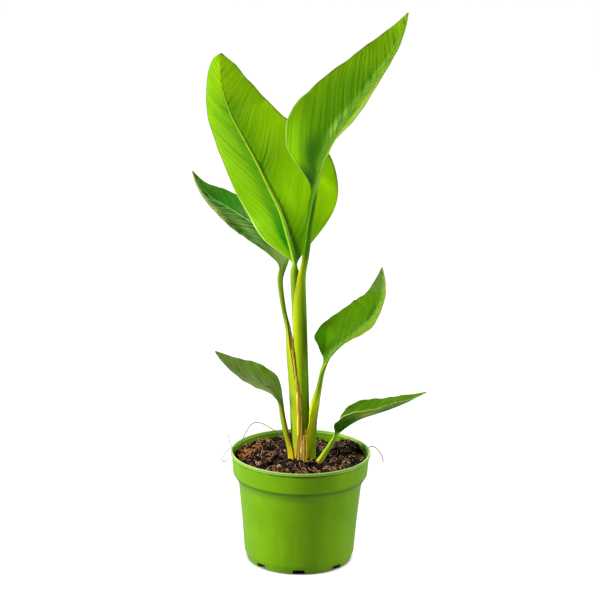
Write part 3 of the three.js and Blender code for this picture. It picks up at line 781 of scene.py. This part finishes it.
def leaf_finish(name, veins, seed, blade, vein, crease, rib, margin, stalk, foot, glow=(0.3, 1.0),
                turn=(0.2, 0.8), neck=((100, 150, 6), 0.9, 1.0), seam=((150, 170, 60), 0, 0.1, 0.1),
                tip=(120, 96, 40), grazing_sheen_half=None, painted_light_and_tone_under_veins=(), painted_light_and_tone_over_veins=(), gloss=0.42, stripes=(1.0, 1.0),
                rib_end=(0.97, 0.8)):
    """One face of a leaf. Heights are in metres, places and sizes in shares of its width and length.

    blade: midrib and edge colours, their change partly painted shade and glow. glow: where the second starts
    and is full.
    vein, crease: colours of raised lines and furrows; crease also paints shade in creases and by the midrib.
    stripes: their strength left and right.
    rib: colour, half width in mm at the foot and at the tip. rib_end: where it is gone and where it fades.
    margin: colours of the hem on the lower and the upper part. tip: colour of the dry point.
    stalk: colours at the left and the right edge, where they differ a painted lit and shaded side. turn:
    where one begins and ends to change to the other.
    foot, neck: colour of the stalk's lowest and of its free upper part, height where it starts and is full.
    seam: colour, lowest, highest and width of the clasping base's dried edge.
    The two lists of soft ovals (place, size, colour, strength), under and over the veins, are mostly painted
    light and shade.
    A differing right half's colour is a painted grazing sheen. gloss: lowest roughness, but for a little.
    """
    finish, tree, shader = new_finish(name)
    lengths, shares = (put(tree, "UVMap", uv_map=title).outputs[0] for title in ("lengths", "shares"))
    across, along, _ = parts_of(tree, lengths)
    wide, far, _ = parts_of(tree, shares)
    place = place_on(tree)
    height = parts_of(tree, place)[2]
    cloud = noise_in(tree, place, 30.0, 4.0)
    off_rib = sum_of(tree, "ABSOLUTE", sum_of(tree, "MULTIPLY_ADD", wide, 2.0, -1.0))
    lines = put(tree, "Group", {"Lengths": lengths, "Lean Left": veins[0][0], "Lean Right": veins[0][1],
                                "Sweep": veins[1] * 100, "Seed": seed}, node_tree=vein_lines).outputs

    def ovals(spots):
        made = []
        for at, size, over, strength in spots:
            inputs = {"Shares": shares, "Place": (*at, 0), "Size": (*size, 1)}
            made.append((put(tree, "Group", inputs, node_tree=soft_oval).outputs[0], strength, over))
        return made

    by_half = ranged(tree, fade(tree, wide, 0.48, 0.52), *stripes)
    strong = times(tree, lines["Strong"], by_half)
    fine = times(tree, lines["Fine"], by_half)
    between_veins = times(tree, fade(tree, lines["Strong"], 0.2, 0.0), by_half)
    near_rib = fade(tree, off_rib, 0.75, 0.1)
    # The dark crease lines are painted shade in the creases, strongest near the midrib.
    creased = times(tree, lines["Crease"], sum_of(tree, "MULTIPLY_ADD", near_rib, 0.75, 0.25))
    shown = fade(tree, far, *rib_end)
    rib_half = ranged(tree, far, rib[1] / 100, rib[2] / 100)
    beside = sum_of(tree, "DIVIDE", sum_of(tree, "ABSOLUTE", across), rib_half)
    colour = washed(
        tree, mixed(tree, fade(tree, off_rib, *glow), paint(*blade[0]), paint(*blade[1])),
        (fade(tree, cloud, 0.4, 0.75), 0.3, blade[1]), *ovals(painted_light_and_tone_under_veins),
        *([(fade(tree, wide, 0.5, 0.53), 0.9, grazing_sheen_half)] if grazing_sheen_half else []),
        (lines["Broad"], 0.16, crease), (strong, 0.2, vein), (fine, 0.22, vein),
        (between_veins, 0.22, crease), (creased, 0.8, crease), *ovals(painted_light_and_tone_over_veins),
        # Painted shade along both sides of the raised midrib, then the midrib's own colour.
        (times(tree, fade(tree, beside, 2.4, 1.0), shown), 0.45, crease),
        (times(tree, fade(tree, beside, 1.15, 0.75), shown), 1.0, rib[0]))
    to_edge = times(tree, sum_of(tree, "SUBTRACT", 1.0, off_rib), ranged(tree, far, 1.0, 0.45))
    hem = mixed(tree, fade(tree, far, 0.3, 0.5), paint(*margin[0]), paint(*margin[1]))
    colour = mixed(tree, times(tree, fade(tree, to_edge, 0.03, 0.014), 0.85), colour, hem)
    colour = washed(tree, colour, (fade(tree, far, 0.985, 0.998), 1.0, tip))

    streak_at = {0: times(tree, across, 130.0), 1: times(tree, along, 1.2), 2: seed}
    streak = noise_in(tree, put(tree, "CombineXYZ", streak_at).outputs[0], 1.0, 3.0)
    ground = sum_of(tree, "MULTIPLY_ADD", sum_of(tree, "SUBTRACT", streak, 0.5), 0.04, height)
    soft = 0.006
    seam_band = band(tree, height, seam[1] - soft, seam[1] + soft, seam[2] - soft, seam[2] + soft)
    # The stalk's two edge colours, where they differ, are a painted lit side and shaded side.
    stem = mixed(tree, fade(tree, wide, *turn), paint(*stalk[0]), paint(*stalk[1]))
    stem = washed(
        tree, mixed(tree, fade(tree, height, *neck[1:]), stem, paint(*neck[0])),
        (fade(tree, ground, *foot[1:]), 0.9, foot[0]), (fade(tree, streak, 0.5, 0.68), 0.4, vein),
        (fade(tree, streak, 0.45, 0.3), 0.4, crease),
        (times(tree, seam_band, fade(tree, off_rib, 1 - seam[3], 1 - seam[3] / 3)), 0.85, seam[0]))
    normal = bumped(tree, creased, 0.6, 0.0006, invert=True)
    normal = bumped(tree, fine, 0.3, 0.0002, bumped(tree, strong, 0.22, 0.0004, normal))
    feed(tree, shader, {
        "Base Color": mixed(tree, fade(tree, along, -0.12, 0.03), stem, colour), "Normal": normal,
        "Roughness": ranged(tree, cloud, gloss - 0.06, gloss + 0.1),
        "Specular IOR Level": 0.17, "Specular Tint": (0.85, 1, 0.3, 1),
        "Subsurface Weight": 0.35, "Subsurface Radius": (0.6, 1.0, 0.15), "Subsurface Scale": 0.0015})
    return finish


def finish_leaf(piece, node):
    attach(piece, "root")
    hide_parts(node)


# ---- Tall left leaf -----------------------------------------------------------------------
# The youngest leaf, straight up the middle of the stem. It turns its back to the viewer, so the
# raised pale midrib shows, and light comes through its left margin.
veins = ((0.8, 1.35), 0.012, 9.0)
skin = {"veins": veins, "seed": 1.0, "foot": ((190, 180, 60), 0.145, 0.106)}
face = leaf_finish(
    "tall_left_face", **skin, blade=((74, 134, 0), (96, 154, 2)), glow=(0.2, 0.95), vein=(116, 166, 20),
    crease=(54, 108, 0), rib=((132, 176, 70), 1.2, 0.3), margin=((140, 170, 40), (110, 110, 30)),
    stalk=[(140, 174, 20)] * 2)
back = leaf_finish(
    "tall_left_back", **skin, blade=((90, 146, 0), (122, 172, 0)), glow=(0.2, 1.0), vein=(146, 190, 8),
    crease=(46, 104, 0), rib=((140, 184, 30), 1.9, 0.3), margin=((140, 166, 40), (104, 116, 10)),
    # The stalk's two edge colours are a painted lit side and shaded side.
    stalk=((104, 136, 12), (120, 150, 30)), stripes=(0.5, 1.0), rib_end=(0.9, 0.7),
    # Painted light and shade: glow through the blade, the right lobe lit over a cast shadow, shade along the
    # midrib.
    painted_light_and_tone_under_veins=[
        ((0.95, 0.3), (0.3, 0.45), (108, 160, 0), 0.9), ((0.14, 0.55), (0.4, 0.5), (140, 186, 0), 0.8),
        ((0.4, 0.92), (0.6, 0.2), (150, 192, 0), 0.85), ((0.28, 0.3), (0.3, 0.2), (146, 198, 0), 0.85),
        ((0.0, 0.27), (0.26, 0.2), (166, 214, 0), 0.9), ((0.6, 0.45), (0.14, 0.5), (56, 118, 0), 0.7),
        ((0.74, 0.52), (0.3, 0.3), (102, 144, 0), 0.6),
    ],
    # Painted shade at the midrib's foot and beside it, painted light on the right lobe and a lit strip at the
    # left margin.
    painted_light_and_tone_over_veins=[
        ((0.58, 0.1), (0.14, 0.28), (0, 106, 0), 0.9), ((0.32, 0.04), (0.26, 0.12), (50, 110, 0), 0.5),
        ((1.0, 0.18), (0.034, 0.36), (214, 236, 170), 0.9),
        ((0.04, 0.31), (0.15, 0.09), (196, 250, 0), 0.75), ((0.39, 0.27), (0.06, 0.08), (150, 206, 0), 0.5),
        ((0.57, 0.42), (0.08, 0.36), (66, 128, 0), 0.6), ((0.45, 0.6), (0.05, 0.3), (84, 140, 0), 0.4),
    ])
leaf = grow_leaf(
    "tall_left_leaf",
    stalk_rows([
        ((0.1, 2, stem_foot), (0, 1, 0), 2.9), ((-2.8, 2, 170), (0, 1, 0), 2.9),
        ((-6.1, 2, 245), (0, 1, 0), 3), ((-8.6, 2.2, 292), (0, 1, 0), 3.2),
    ]),
    blade_rows([
        ((-8.8, 2.5, 308), (4, 4)), ((-16, 4, 334), (39.5, 28)), ((-24, 6, 358), (61.5, 40)),
        ((-36, 8, 382), (67, 43.5)), ((-48, 10, 406), (59, 42)), ((-61, 12, 429), (44, 39)),
        ((-73, 13, 451), (37, 31)), ((-81, 12, 477), (27.5, 20)), ((-83, 9, 500), (14.5, 10.5)),
        ((-82, 7, 511), (0.8, 0.8)),
    ], face=((0.1, 1, 0), (0.1, 1, 0.2)), fold=(8, 27), curl=(6, 10), rib=4.4, wave=1.5),
    veins, (0.04, 0.06), [face, back])
finish_leaf(leaf, "leaf_tall_left")


# ---- Tall right leaf ----------------------------------------------------------------------
# The tallest leaf. Its base wraps nearly the whole stem, and its blade is folded along the midrib,
# so that the right half shows only as a narrow strip.
veins = ((1.3, 1.5), 0.014, 8.0)
skin = {"veins": veins, "seed": 5.0, "margin": ((160, 190, 90), (96, 110, 20))}
face = leaf_finish(
    "tall_right_face", **skin, blade=((72, 124, 0), (98, 148, 0)), glow=(0.15, 0.95), vein=(122, 168, 16),
    crease=(36, 92, 0), rib=((62, 108, 0), 1.7, 0.35), stalk=[(128, 168, 24)] * 2,
    # The narrow right half's colour is a painted grazing sheen.
    neck=((60, 112, 0), 0.294, 0.318), foot=((190, 190, 60), 0.145, 0.106), grazing_sheen_half=(92, 114, 12),
    # Painted light on the bright lower lobe and in a highlight beside the midrib; the tip and margin ovals
    # lighten the tone.
    painted_light_and_tone_under_veins=[
        ((0.06, 0.17), (0.22, 0.2), (126, 182, 0), 0.9), ((0.44, 0.33), (0.05, 0.14), (150, 190, 80), 0.7),
        ((0.25, 0.85), (0.5, 0.34), (118, 152, 0), 0.8), ((0.02, 0.45), (0.16, 0.5), (116, 156, 0), 0.7),
    ],
    # Painted shade in the fold's dark hollow at the foot and along the midrib, and a painted pale sheen on
    # the right strip.
    painted_light_and_tone_over_veins=[
        ((0.24, 0.0), (0.5, 0.11), (6, 52, 0), 0.9), ((0.22, 0.0), (0.5, 0.11), (6, 52, 0), 0.9),
        ((0.36, 0.12), (0.17, 0.2), (20, 76, 0), 0.85),
        ((0.49, 0.35), (0.03, 0.6), (66, 112, 0), 0.8), ((0.85, 0.42), (0.3, 0.5), (142, 158, 64), 0.65),
        ((0.62, 0.1), (0.14, 0.2), (56, 104, 0), 0.8),
    ])
back = leaf_finish(
    "tall_right_back", **skin, blade=((76, 130, 2), (100, 154, 4)), glow=(0.2, 1.0), vein=(140, 182, 40),
    # The clasping base's two edge colours are a painted lit side and shaded side.
    crease=(46, 100, 0), rib=((120, 162, 40), 2.4, 0.3), stalk=((86, 140, 0), (172, 184, 16)),
    turn=(0.45, 1.0), neck=((64, 116, 0), 0.294, 0.318), foot=((190, 178, 34), 0.125, 0.1),
    seam=((206, 200, 120), 0.18, 0.288, 0.05))
leaf = grow_leaf(
    "tall_right_leaf",
    sheath_rows(-20, 4.8, (0.3, 0), 5.4, [
        (stem_foot, 148, 0), (145, 144, 0), (190, 136, 0), (242, 116, 0), (268, 98, 0), (283, 72, 0)])
    + stalk_rows([
        ((-2.8, -1.5, 297), (-0.8, 0.3, 0), 3.2), ((0.8, -4, 321), (-0.75, -0.2, 0), 3.1),
        ((3.2, -6.5, 345), (-0.7, -0.5, 0), 2.9), ((6.2, -8.5, 366), (-0.7, -0.7, 0), 2.9),
    ]),
    blade_rows([
        ((9.8, -10, 386), (7, 4)), ((16, -11, 411), (40, 5)), ((26.6, -13, 434), (49.5, 17)),
        ((39.5, -15, 455), (44.5, 31)), ((53, -18, 477), (38, 39)), ((66, -20, 496), (30.5, 36.5)),
        ((78, -22, 514), (24, 25)), ((88, -25, 536), (13.5, 10.5)), ((94, -30, 558), (0.6, 0.6)),
    ], face=((-0.7, -0.7, 0.1), (-0.75, -0.65, 0.2)), fold=(34, 39), curl=(8, 12), rib=4, wave=1.2),
    veins, (0.08, 0.08), [face, back])
finish_leaf(leaf, "leaf_tall_right")


# ---- Back left leaf -----------------------------------------------------------------------
# An older, darker leaf behind. It has a thin pale midrib, strong pleats on its lower half and a rolled
# pale margin; the open edge of its clasping base has dried to a reddish-brown seam.
veins = ((1.5, 1.5), 0.01, 7.5)
skin = {"veins": veins, "seed": 9.0}
face = leaf_finish(
    "back_left_face", **skin, blade=((36, 122, 0), (46, 130, 0)), vein=(140, 178, 100), crease=(18, 78, 0),
    rib=((140, 182, 90), 0.9, 0.3), margin=((190, 206, 140), (146, 140, 70)), stalk=[(120, 156, 30)] * 2,
    neck=((96, 130, 20), 0.22, 0.25), foot=((190, 180, 50), 0.145, 0.106), seam=((166, 96, 40), 0, 0.1, 0.1),
    gloss=0.62, stripes=(2.3, 0.4),
    # Painted light: grey-white sheen across the blade and a lightened foot; the pale rolled margin is the
    # leaf's own colour.
    painted_light_and_tone_under_veins=[
        ((0.62, 0.4), (0.2, 0.2), (118, 148, 98), 0.6), ((0.2, 0.4), (0.26, 0.6), (66, 116, 30), 0.5),
        ((0.5, 0.08), (0.4, 0.14), (160, 180, 90), 0.8), ((0.8, 0.86), (0.3, 0.2), (84, 142, 0), 0.8),
        ((0.0, 0.6), (0.08, 0.5), (196, 210, 136), 0.9), ((0.28, 0.45), (0.16, 0.34), (140, 168, 80), 0.7),
        ((0.12, 0.22), (0.2, 0.2), (150, 176, 110), 0.6), ((0.64, 0.93), (0.3, 0.1), (104, 132, 0), 0.7),
    ],
    # Painted light on the foot; the pale edge near the tip is the leaf's own rolled margin.
    painted_light_and_tone_over_veins=[
        ((0.5, 0.04), (0.7, 0.13), (146, 166, 84), 0.85), ((0.0, 0.82), (0.34, 0.4), (214, 226, 140), 0.9),
    ])
back = leaf_finish(
    "back_left_back", **skin, blade=((90, 130, 40), (116, 150, 66)), vein=(142, 172, 84),
    crease=(66, 104, 20), rib=((130, 164, 50), 2.2, 0.3), margin=((176, 196, 120), (112, 100, 50)),
    # The stalk's two edge colours are a painted lit side and shaded side.
    stalk=((166, 182, 12), (116, 152, 20)), turn=(0.04, 0.42), neck=((116, 140, 20), 0.225, 0.25),
    foot=((206, 168, 24), 0.13, 0.1), seam=((206, 158, 50), 0, 0.226, 0.045))
leaf = grow_leaf(
    "back_left_leaf",
    sheath_rows(165, 8.2, (1.9, -0.7), 2.6, [
        (stem_foot, 104, 0), (130, 98, 0), (170, 88, 0.7), (195, 74, 1.6), (219, 56, 2.5), (238, 34, 2.6)])
    + stalk_rows([
        ((-17, 4, 254), (1, -0.3, 0), 2), ((-20.2, 5, 272), (1, -0.5, 0.1), 2.1),
        ((-21.8, 7, 288), (0.9, -0.7, 0.2), 2.4),
    ]),
    blade_rows([
        ((-21.5, 11, 303), (5, 7)), ((-27, 18, 315), (14, 20)), ((-37, 26, 326), (21, 24)),
        ((-50, 33, 337), (23, 23)), ((-64, 37, 345), (22, 17.5)), ((-78, 40, 353), (17, 16)),
        ((-92, 41, 361), (9.5, 13)), ((-103, 41, 373), (5, 6)), ((-111, 39, 388), (0.5, 0.5)),
    ], face=((0.4, -0.75, 0.4), (0, -0.7, 0.7)), fold=(16, 12), curl=(10, 6), rib=2.6, wave=1.2),
    veins, (0.4, 0.1), [face, back])
finish_leaf(leaf, "leaf_back_left")


# ---- Low left leaf ------------------------------------------------------------------------
# A small old leaf with a grey sheen painted on its face, a brownish margin and a dry whitish tip.
veins = ((1.5, 1.5), 0.02, 6.0)
skin = {"veins": veins, "seed": 13.0, "margin": ((120, 130, 70), (112, 92, 50)), "tip": (196, 196, 170)}
face = leaf_finish(
    # Its face's grey-green blade colours hold a painted sheen.
    "low_left_face", **skin, blade=((150, 176, 80), (144, 174, 66)), vein=(172, 192, 124),
    crease=(92, 130, 44), rib=((160, 184, 110), 0.8, 0.3), stalk=[(120, 150, 20)] * 2,
    foot=((206, 176, 24), 0.14, 0.104),
    seam=((150, 92, 20), 0.122, 0.156, 0.14), gloss=0.36,
    # Painted light: a whitish sheen over the blade, kept off the bright green upper half.
    painted_light_and_tone_under_veins=[
        ((0.5, 0.35), (0.16, 0.5), (164, 190, 130), 0.65), ((0.18, 0.4), (0.3, 0.6), (124, 148, 92), 0.7),
        ((0.86, 0.4), (0.26, 0.4), (120, 172, 0), 0.85), ((0.6, 0.1), (0.4, 0.2), (170, 192, 110), 0.8),
    ])
back = leaf_finish(
    "low_left_back", **skin, blade=((90, 128, 50), (108, 142, 60)), vein=(132, 160, 84), crease=(70, 108, 36),
    rib=((140, 170, 60), 1.6, 0.3), stalk=[(132, 160, 16)] * 2, foot=((206, 180, 20), 0.14, 0.104),
    seam=((150, 92, 20), 0.122, 0.156, 0.08))
leaf = grow_leaf(
    "low_left_leaf",
    sheath_rows(190, 10.3, (1.1, -0.5), 3.6, [(stem_foot, 30, 0), (112, 27, 0)])
    + stalk_rows([((-12.2, -2.6, 128), (1, 0.1, 0), 2.5), ((-16.4, -3, 147), (1, 0, 0.2), 2.6)]),
    blade_rows([
        ((-22, -3, 166), (3, 5.5)), ((-31, -4, 179), (11, 15)), ((-45, -6, 187), (15, 17)),
        ((-59, -8, 194), (14, 16)), ((-72, -9, 204), (8, 10)), ((-86, -10, 218), (0.5, 0.5)),
    ], face=((0.5, -0.5, 0.8), (0.2, -0.5, 0.9)), fold=(18, 22), curl=(10, 10), rib=1.8, wave=0.8),
    veins, (0.08, 0.05), [face, back])
finish_leaf(leaf, "leaf_low_left")


# ---- Low right leaf -----------------------------------------------------------------------
# An oval leaf on a stout stalk, folded upwards, so that the half beyond the midrib is a narrow strip with a
# painted pale sheen.
veins = ((1.5, 1.5), 0.016, 6.5)
skin = {"veins": veins, "seed": 17.0, "margin": ((100, 130, 20), (112, 96, 40)), "tip": (120, 130, 90)}
face = leaf_finish(
    "low_right_face", **skin, blade=((80, 130, 0), (92, 142, 0)), vein=(114, 160, 20), crease=(48, 100, 0),
    rib=((74, 122, 0), 0.6, 0.3), stalk=[(150, 176, 20)] * 2, foot=((200, 184, 30), 0.13, 0.1),
    # The narrow strip's colour is a painted pale sheen.
    seam=((180, 150, 40), 0, 0.1, 0.1), stripes=(0.8, 0.8), grazing_sheen_half=(114, 136, 26),
    # Painted grey sheen on the bent tip.
    painted_light_and_tone_under_veins=[((0.4, 0.94), (0.9, 0.22), (92, 106, 64), 0.95)],
    # Painted shade along the midrib and at the foot, and painted light where the stem's shadow falls on the
    # lower left.
    painted_light_and_tone_over_veins=[
        ((0.47, 0.35), (0.06, 0.6), (52, 100, 0), 0.75), ((0.12, 0.11), (0.3, 0.14), (126, 200, 0), 0.9),
        ((0.4, 0.1), (0.12, 0.16), (44, 96, 0), 0.6),
    ])
back = leaf_finish(
    "low_right_back", **skin, blade=((84, 132, 10), (100, 148, 20)), vein=(134, 172, 50), crease=(56, 104, 2),
    # The stalk's two edge colours are a painted lit side and shaded side.
    rib=((120, 160, 34), 1.8, 0.3), stalk=((46, 102, 0), (206, 214, 14)), turn=(0.46, 0.9),
    neck=((104, 144, 10), 0.155, 0.185), foot=((84, 112, 2), 0.104, 0.098),
    seam=((198, 178, 40), 0, 0.15, 0.08))
leaf = grow_leaf(
    "low_right_leaf",
    sheath_rows(-10, 10.3, (1.1, -0.5), 4.6, [(stem_foot, 80, 0), (114, 74, 0), (130, 60, 0.8), (144, 42, 2)])
    + stalk_rows([
        ((10.3, -3.4, 161), (-1, 0.1, 0), 4.4), ((15.2, -3.6, 178), (-1, 0, 0.1), 2.7),
        ((19, -3.4, 195), (-0.9, -0.3, 0.2), 2),
    ]),
    blade_rows([
        ((24, -3, 208), (5, 3)), ((27, -3.5, 213), (23.5, 3.4)), ((35, -4, 222), (28, 6)),
        ((47, -5, 233), (27, 11)), ((59, -5, 245), (25, 26)), ((70, -4, 256), (24.5, 27.5)),
        ((77, -1, 270), (18.5, 18.5)), ((78.5, 4, 285), (11.5, 7)), ((77, 9, 301), (0.5, 0.5)),
    ], face=((-0.7, -0.6, 0.5), (-0.6, -0.7, 0.1)), fold=(26, 40), curl=(10, 12), rib=2.2, wave=1),
    veins, (0.06, 0.06), [face, back])
finish_leaf(leaf, "leaf_low_right")


# ---- Side shoot ---------------------------------------------------------------------------
# A low leaf on its own stalk, that leans out to the right. Its near half stands up towards the viewer.
veins = ((1.5, 1.5), 0.02, 6.0)
skin = {"veins": veins, "seed": 21.0, "foot": ((190, 188, 30), 0.12, 0.103), "tip": (120, 110, 70)}
face = leaf_finish(
    "side_shoot_face", **skin, blade=((66, 112, 0), (76, 118, 0)), vein=(110, 152, 36), crease=(42, 94, 0),
    rib=((124, 158, 60), 0.8, 0.3), margin=((190, 200, 130), (110, 116, 50)), stalk=[(132, 168, 20)] * 2,
    seam=((150, 160, 50), 0, 0.09, 0.1))
back = leaf_finish(
    "side_shoot_back", **skin, blade=((56, 112, 2), (64, 118, 6)), vein=(120, 156, 66), crease=(30, 86, 0),
    rib=((136, 168, 46), 1.6, 0.3), margin=((190, 200, 130), (150, 160, 90)), stalk=[(124, 164, 12)] * 2,
    seam=((150, 170, 50), 0, 0.09, 0.1),
    painted_light_and_tone_under_veins=[
        ((0.73, 0.36), (0.26, 0.15), (214, 214, 40), 0.85), ((0.75, 0.8), (0.5, 0.3), (112, 142, 80), 0.75),
        ((0.92, 0.42), (0.24, 0.4), (150, 180, 40), 0.9), ((0.7, 0.08), (0.4, 0.14), (24, 90, 0), 0.8),
    ])
leaf = grow_leaf(
    "side_shoot_leaf",
    stalk_rows([
        ((14.8, -12.8, stem_foot), (-0.7, 0, 0.7), 2.6), ((15.8, -12.4, 104), (-0.7, 0, 0.7), 2.7),
        ((21.6, -11.5, 112.5), (-0.7, 0, 0.7), 2.5), ((29.5, -10, 125), (-0.7, 0, 0.7), 2.1),
    ]),
    blade_rows([
        ((36, -9, 134), (3, 4)), ((40, -9, 138), (9, 15)), ((48, -9, 144), (16, 18)),
        ((59, -8, 150), (18.5, 20)), ((74, -7, 155), (17.5, 18)), ((89, -6, 160), (13.7, 15.5)),
        ((105, -5, 167), (8.5, 10.5)), ((124, -3, 177), (0.5, 0.5)),
    ], face=((-0.6, -0.1, 0.8), (-0.2, -0.1, 1)), fold=(36, 36), curl=(10, 10), rib=1.6, wave=0.8,
        clasp=(10, 60)),
    veins, (0.08, 0.08), [face, back])
finish_leaf(leaf, "leaf_side_shoot")


# ---- Dry strips ---------------------------------------------------------------------------
# The open edge of the dark leaf's base has dried, and papery brown and straw-coloured strips of older
# bases are left in the groove between it and its neighbours. They are stuck down along their length.
def front_surface(names):
    """A search tree of the leaves that the strips lie on."""
    corners, sheets = [], []
    for name in names:
        mesh = bpy.data.objects[name].data
        first = len(corners)
        corners += [v.co.copy() for v in mesh.vertices]
        sheets += [[first + i for i in p.vertices] for p in mesh.polygons]
    return BVHTree.FromPolygons(corners, sheets)


stem_leaves = ("tall_right_leaf", "back_left_leaf", "low_right_leaf", "tall_left_leaf")
stem_front = front_surface(stem_leaves)
bridged = 1.4


def pressed_on(x, z, lift):
    """The point in front of the stem's surface at (x, z), all in mm. A groove beside it is bridged."""
    depths = []
    for aside in (-bridged, 0, bridged):
        hit = stem_front.ray_cast(Vector(((x + aside) * mm, -0.06, z * mm)), Vector((0, 1, 0)), 0.1)[0]
        depths.append(hit.y if hit else 0)
    return Vector((x * mm, min(depths) - lift * mm, z * mm))


def dry_strips(name, strips, finish):
    """Each strip is its middle line as (x, z) points from the top down, and its width at the foot."""
    points, faces = [], []
    for corners, wide in strips:
        line = smooth_path([(x, 0, z) for x, z in corners], 14)
        start = len(points)
        for i, middle in enumerate(line):
            share = i / (len(line) - 1)
            size = wide / 2 * (0.25 + 0.75 * share ** 0.7) * (1 + 0.2 * math.sin(11 * share + 5 * wide))
            x, z = middle.x / mm, middle.z / mm
            for across, lift in ((-1, 0.05), (-0.4, 0.3), (0.5, 0.22), (1, 0.05), (1, -0.5), (-1, -0.5)):
                points.append(pressed_on(x + across * size, z, lift))
        for i in range(len(line) - 1):
            faces += ring_faces(start + i * 6, start + (i + 1) * 6, 6)
        faces.append(tuple(start + j for j in range(6)))
        faces.append(tuple(len(points) - 6 + j for j in reversed(range(6))))
    piece = add_piece(name, points, faces, [finish])
    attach(piece, "root")


def papery(name, dark, light):
    """Dry leaf base: two tones in fine lines that run up the stem."""
    finish, tree, shader = new_finish(name)
    tone = noise_in(tree, scaled(tree, place_on(tree), (1900, 1900, 60)), 1.0, 3.0)
    feed(tree, shader, {
        "Base Color": mixed(tree, fade(tree, tone, 0.36, 0.62), paint(*dark), paint(*light)),
        "Normal": bumped(tree, tone, 0.5, 0.0002), "Roughness": ranged(tree, tone, 0.7, 0.5),
        "Specular IOR Level": 0.2})
    return finish


dry_strips("golden_strips", [
    ([(-12.8, 243), (-9.4, 216), (-5.9, 191), (-2.9, 160), (-1.2, 110), (-1.2, 99)], 4.0),
    ([(6.4, 130), (6.2, 114), (5.4, 99)], 2.4), ([(-9.4, 122), (-9.8, 110), (-10.0, 99)], 2.0),
], papery("dry_gold", (190, 166, 20), (226, 216, 66)))
stem_front = front_surface((*stem_leaves, "golden_strips"))
dry_strips("brown_strips", [
    ([(-11.6, 236), (-9.0, 216), (-5.6, 191), (-2.4, 160), (-0.9, 110), (-0.9, 99)], 1.0),
    ([(-3.6, 180), (-0.2, 156), (1.6, 130), (1.8, 99)], 1.5), ([(4.6, 140), (4.2, 118), (3.6, 99)], 1.5),
    ([(-3.0, 132), (-4.0, 114), (-4.6, 100)], 0.8),
], papery("dry_brown", (150, 96, 10), (206, 150, 50)))
dry_strips("straw_strips", [
    ([(-10.4, 234), (-7.2, 205), (-4.4, 180), (-2.6, 150), (-2.4, 104)], 0.7),
    ([(-1.8, 176), (0.2, 150), (0.4, 103)], 0.9), ([(3.2, 138), (2.9, 120), (2.7, 100)], 1.0),
    ([(3.6, 126), (3.4, 112), (3.2, 100)], 0.6),
], papery("dry_straw", (196, 168, 60), (238, 216, 126)))
